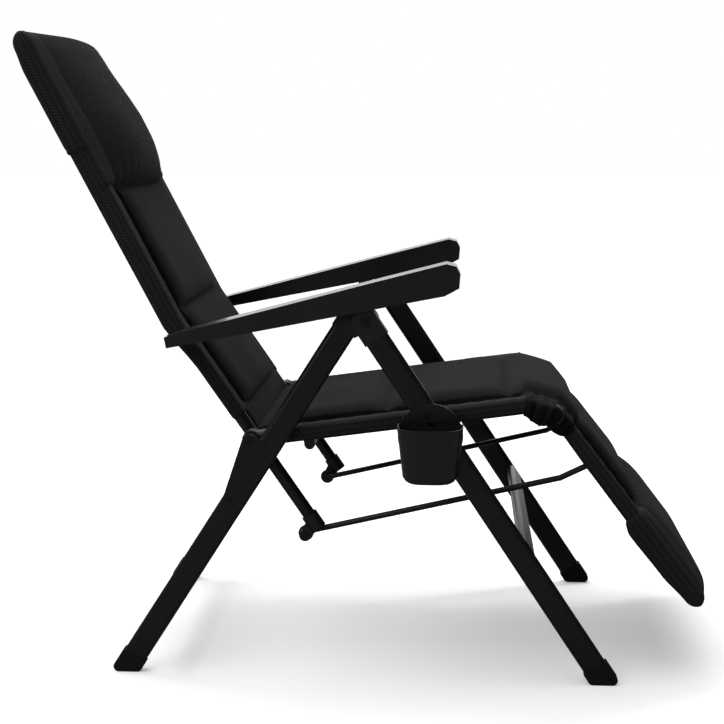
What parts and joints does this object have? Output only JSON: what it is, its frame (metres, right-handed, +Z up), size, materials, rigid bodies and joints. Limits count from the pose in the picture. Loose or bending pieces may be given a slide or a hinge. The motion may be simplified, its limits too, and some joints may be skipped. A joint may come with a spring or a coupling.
{
  "type": "reclining lounge chair",
  "caption": "Folding reclining lounge chair on crossed tube legs, with a padded seat and back, a head pillow, a hinged footrest, armrests and a clip-on cup holder.",
  "frame": {"origin": "on the floor, in the middle plane, midway between the front and rear feet", "axes": "+X towards the footrest, +Y to the sitter's left, +Z up"},
  "size_m": [1.1458, 0.6983, 1.0517],
  "materials": {
    "black_steel": "satin black powder coat over steel tube",
    "moulded_plastic": "fine-grained black moulded plastic",
    "armrest_plastic": "satin black moulded plastic",
    "cup_plastic": "smooth dark grey moulded plastic",
    "rubber_feet": "matt black rubber",
    "bolts": "zinc-plated steel, dulled",
    "quilted_fabric": "charcoal woven polyester over foam"
  },
  "bodies": {
    "front_frame": {"front_leg_right": "black_steel", "front_leg_left": "black_steel", "front_crossbar": "black_steel", "front_foot_right": "rubber_feet", "front_foot_left": "rubber_feet", "front_hinge_cap_right": "moulded_plastic", "front_hinge_cap_left": "moulded_plastic", "leg_hinge_bolts": "bolts", "seat_pivot_bolts": "bolts", "cup_holder": "cup_plastic", "cup_holder_screw": "bolts"},
    "rear_frame": {"rear_leg_right": "black_steel", "rear_leg_left": "black_steel", "rear_crossbar": "black_steel", "rear_foot_right": "rubber_feet", "rear_foot_left": "rubber_feet", "rear_hinge_cap_right": "moulded_plastic", "rear_hinge_cap_left": "moulded_plastic"},
    "links": {"link_plate_right": "black_steel", "link_plate_left": "black_steel", "link_rivets": "bolts"},
    "seat": {"seat_rail_right": "black_steel", "seat_rail_left": "black_steel", "seat_crossbar": "black_steel", "hinge_bracket_right": "moulded_plastic", "hinge_bracket_left": "moulded_plastic", "knee_bracket_right": "moulded_plastic", "knee_bracket_left": "moulded_plastic", "seat_cushion": "quilted_fabric"},
    "back_pivots": {"back_hinge_bolts": "bolts"},
    "back": {"back_rail_right": "black_steel", "back_rail_left": "black_steel", "back_top_bar": "black_steel", "lever_clamp_right": "moulded_plastic", "lever_clamp_left": "moulded_plastic", "lower_back_cushion": "quilted_fabric", "upper_back_cushion": "quilted_fabric", "head_pillow": "quilted_fabric"},
    "armrest_pivots": {"armrest_bolts": "bolts"},
    "armrests": {"armrest_right": "armrest_plastic", "armrest_left": "armrest_plastic", "armrest_racks": "moulded_plastic"},
    "rod_pivots": {"rod_pins": "bolts"},
    "push_rods": {"push_rod_right": "black_steel", "push_rod_left": "black_steel"},
    "knee_pivots": {"knee_bolts": "bolts"},
    "footrest": {"footrest_rail_right": "black_steel", "footrest_rail_left": "black_steel", "footrest_end_bar": "black_steel", "footrest_cushion": "quilted_fabric", "foot_pillow": "quilted_fabric"}
  },
  "joints": [
    {"name": "seat_fold", "type": "hinge", "parent": "front_frame", "child": "seat", "pos_m": [0.11136, 0, 0.43641], "axis": [0, -1, 0], "range_deg": [0, 34]},
    {"name": "rear_leg_fold", "type": "hinge", "parent": "front_frame", "child": "rear_frame", "pos_m": [0.004, 0, 0.598], "axis": [0, -1, 0], "range_deg": [0, 33]},
    {"name": "link_fold", "type": "hinge", "parent": "seat", "child": "links", "pos_m": [-0.187, 0, 0.3966], "axis": [0, -1, 0], "range_deg": [0, 65]},
    {"name": "back_fold", "type": "hinge", "parent": "seat", "child": "back_pivots", "pos_m": [-0.187, 0, 0.3966], "axis": [0, -1, 0], "range_deg": [-32.3, 0]},
    {"name": "recline", "type": "hinge", "parent": "back_pivots", "child": "back", "pos_m": [-0.187, 0, 0.3966], "axis": [0, -1, 0], "range_deg": [-5, 17]},
    {"name": "armrest_fold", "type": "hinge", "parent": "back", "child": "armrest_pivots", "pos_m": [-0.30424, 0, 0.5672], "axis": [0, -1, 0], "range_deg": [0, 31.4]},
    {"name": "armrest_recline", "type": "hinge", "parent": "armrest_pivots", "child": "armrests", "pos_m": [-0.30424, 0, 0.5672], "axis": [0, -1, 0], "range_deg": [-13.2, 4]},
    {"name": "rod_fold", "type": "hinge", "parent": "back", "child": "rod_pivots", "pos_m": [-0.10112, 0, 0.22751], "axis": [0, -1, 0], "range_deg": [0, 32.8]},
    {"name": "rod_recline", "type": "hinge", "parent": "rod_pivots", "child": "push_rods", "pos_m": [-0.10112, 0, 0.22751], "axis": [0, -1, 0], "range_deg": [-15.8, 4.8]},
    {"name": "footrest_fold", "type": "hinge", "parent": "seat", "child": "knee_pivots", "pos_m": [0.31216, 0, 0.44271], "axis": [0, -1, 0], "range_deg": [-56.2, 0]},
    {"name": "footrest_recline", "type": "hinge", "parent": "knee_pivots", "child": "footrest", "pos_m": [0.31216, 0, 0.44271], "axis": [0, -1, 0], "range_deg": [-9.1, 30.5]}
  ],
  "couplings": [
    {"joint": "rear_leg_fold", "follows": "seat_fold", "ratio": 0.963},
    {"joint": "link_fold", "follows": "seat_fold", "ratio": 1.89},
    {"joint": "back_fold", "follows": "seat_fold", "ratio": -0.938},
    {"joint": "armrest_fold", "follows": "seat_fold", "ratio": 0.913},
    {"joint": "armrest_recline", "follows": "recline", "ratio": -0.76},
    {"joint": "rod_fold", "follows": "seat_fold", "ratio": 0.953},
    {"joint": "rod_recline", "follows": "recline", "ratio": -0.91},
    {"joint": "footrest_fold", "follows": "seat_fold", "ratio": -1.637},
    {"joint": "footrest_recline", "follows": "recline", "ratio": 1.77}
  ]
}
